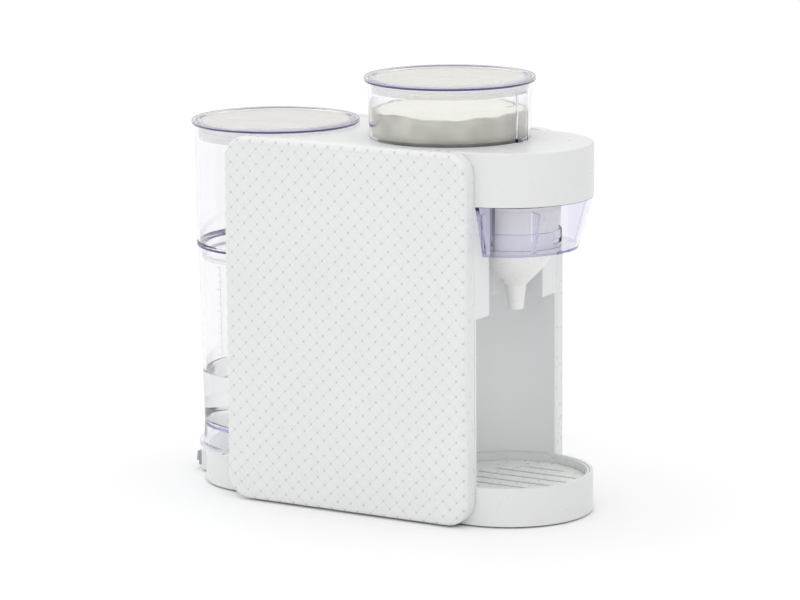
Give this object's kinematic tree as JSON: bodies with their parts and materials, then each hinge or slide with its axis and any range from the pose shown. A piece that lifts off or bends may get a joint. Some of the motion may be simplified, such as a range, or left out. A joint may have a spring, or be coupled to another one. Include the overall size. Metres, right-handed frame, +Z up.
{
  "type": "formula dispenser",
  "caption": "Countertop machine that doses formula powder and warmed water through a funnel into a bottle; lift-out clear water tank, lidded powder hopper, drip tray and side controls.",
  "frame": {"origin": "middle of the bounding box, on the surface that the feet stand on", "axes": "+Z up, -Y towards the nose and the bottle bay, +Y towards the water tank, +X the side with the controls"},
  "size_m": [0.162, 0.362, 0.345],
  "materials": {
    "white_shell": "moulded, softly glossy",
    "grey_liner": "fine moulded grain",
    "trim_print": "satin with a fine printed lattice",
    "rubber": "matte",
    "silicone": "translucent white silicone",
    "steel": "plain",
    "clear_plastic": "clear moulded plastic with a faint violet edge",
    "violet_clear": "clear moulded plastic, violet tint",
    "white_food_plastic": "satin",
    "grey_plastic": "satin",
    "dark_plastic": "satin",
    "aluminium": "as extruded",
    "tube": "translucent silicone tube",
    "circuit_board": "solder mask",
    "display_glass": "polished",
    "silver_plastic": "satin silver"
  },
  "bodies": {
    "base": {"base_tub": "white_shell", "base_plate": "grey_liner", "rubber_feet": "rubber", "base_screws": "steel", "front_fascia": "white_shell", "rear_fascia": "white_shell", "top_cover": "white_shell", "head_floor": "white_shell", "head_screws": "steel", "left_side_shell": "white_shell", "left_trim_panel": "trim_print", "right_side_shell": "white_shell", "right_trim_panel": "trim_print", "pod_liners": "grey_liner", "water_nozzle": "white_food_plastic", "powder_chute": "white_food_plastic", "gear_motor": "steel", "motor_bracket": "steel", "tank_socket": "white_food_plastic", "water_pump": "dark_plastic", "inline_heater": "aluminium", "tank_to_pump_tube": "tube", "pump_to_heater_tube": "tube", "heater_to_nozzle_tube": "tube", "main_pcb": "circuit_board", "control_pcb": "circuit_board", "control_bezel": "silver_plastic", "display_window": "display_glass", "power_switch_frame": "dark_plastic", "mains_inlet": "dark_plastic"},
    "drip_tray": {"drip_tray": "white_shell"},
    "drip_grille": {"drip_grille": "white_shell"},
    "funnel_cover": {"funnel_cover": "violet_clear", "funnel_collar": "violet_clear"},
    "funnel": {"funnel": "white_food_plastic", "funnel_seal": "silicone"},
    "powder_hopper": {"powder_container": "clear_plastic", "dosing_base": "white_food_plastic", "powder_scraper": "white_food_plastic"},
    "powder_lid": {"powder_lid": "violet_clear", "powder_lid_seal": "silicone"},
    "dosing_rotor": {"dosing_wheel": "white_food_plastic", "powder_agitator": "white_food_plastic"},
    "motor_drive": {"drive_coupling": "grey_plastic", "motor_shaft": "steel"},
    "water_tank": {"tank_vessel": "clear_plastic", "valve_body": "white_food_plastic", "valve_spring": "steel", "valve_seal": "rubber"},
    "valve_poppet": {"valve_poppet": "steel"},
    "tank_sleeve": {"tank_sleeve": "clear_plastic", "tank_joint_seal": "silicone"},
    "tank_lid": {"tank_lid": "violet_clear", "tank_lid_seal": "silicone"},
    "start_button": {"start_button": "white_food_plastic"},
    "volume_up_button": {"volume_up_button": "white_food_plastic"},
    "volume_down_button": {"volume_down_button": "white_food_plastic"},
    "temperature_button": {"temperature_button": "white_food_plastic"},
    "wash_button": {"wash_button": "white_food_plastic"},
    "power_rocker": {"power_switch_rocker": "silver_plastic"}
  },
  "joints": [
    {"name": "drip_tray_lift", "type": "slide", "parent": "base", "child": "drip_tray", "axis": [0, 0, 1], "range_m": [0, 0.05]},
    {"name": "drip_grille_lift", "type": "slide", "parent": "drip_tray", "child": "drip_grille", "axis": [0, 0, 1], "range_m": [0, 0.03]},
    {"name": "funnel_cover_slide", "type": "slide", "parent": "base", "child": "funnel_cover", "axis": [0, -1, 0], "range_m": [0, 0.12]},
    {"name": "funnel_twist", "type": "hinge", "parent": "funnel_cover", "child": "funnel", "pos_m": [0, -0.1203, 0.2171], "axis": [0, 0, 1], "range_deg": [0, 20]},
    {"name": "powder_hopper_lift", "type": "slide", "parent": "base", "child": "powder_hopper", "axis": [0, 0, 1], "range_m": [0, 0.09]},
    {"name": "powder_lid_lift", "type": "slide", "parent": "powder_hopper", "child": "powder_lid", "axis": [0, 0, 1], "range_m": [0, 0.05]},
    {"name": "dosing_wheel_spin", "type": "hinge", "parent": "powder_hopper", "child": "dosing_rotor", "pos_m": [0, -0.061, 0.262], "axis": [0, 0, 1], "continuous": true},
    {"name": "motor_spin", "type": "hinge", "parent": "base", "child": "motor_drive", "pos_m": [0, -0.061, 0.25], "axis": [0, 0, 1], "continuous": true},
    {"name": "water_tank_lift", "type": "slide", "parent": "base", "child": "water_tank", "axis": [0, 0, 1], "range_m": [0, 0.12]},
    {"name": "valve_poppet_push", "type": "slide", "parent": "water_tank", "child": "valve_poppet", "axis": [0, 0, 1], "range_m": [0, 0.001], "stiffness_N_per_m": 150, "deforming": ["valve_spring"]},
    {"name": "tank_sleeve_lift", "type": "slide", "parent": "water_tank", "child": "tank_sleeve", "axis": [0, 0, 1], "range_m": [0, 0.05]},
    {"name": "tank_lid_lift", "type": "slide", "parent": "tank_sleeve", "child": "tank_lid", "axis": [0, 0, 1], "range_m": [0, 0.05]},
    {"name": "start_button_press", "type": "slide", "parent": "base", "child": "start_button", "axis": [-1, 0, 0], "range_m": [0, 0.001], "stiffness_N_per_m": 500},
    {"name": "volume_up_button_press", "type": "slide", "parent": "base", "child": "volume_up_button", "axis": [-1, 0, 0], "range_m": [0, 0.001], "stiffness_N_per_m": 500},
    {"name": "volume_down_button_press", "type": "slide", "parent": "base", "child": "volume_down_button", "axis": [-1, 0, 0], "range_m": [0, 0.001], "stiffness_N_per_m": 500},
    {"name": "temperature_button_press", "type": "slide", "parent": "base", "child": "temperature_button", "axis": [-1, 0, 0], "range_m": [0, 0.001], "stiffness_N_per_m": 500},
    {"name": "wash_button_press", "type": "slide", "parent": "base", "child": "wash_button", "axis": [-1, 0, 0], "range_m": [0, 0.001], "stiffness_N_per_m": 500},
    {"name": "power_rocker_tilt", "type": "hinge", "parent": "base", "child": "power_rocker", "pos_m": [-0.001, 0.173, 0.0102], "axis": [1, 0, 0], "range_deg": [-16, 0]}
  ],
  "couplings": [
    {"joint": "motor_spin", "follows": "dosing_wheel_spin", "ratio": 1}
  ]
}
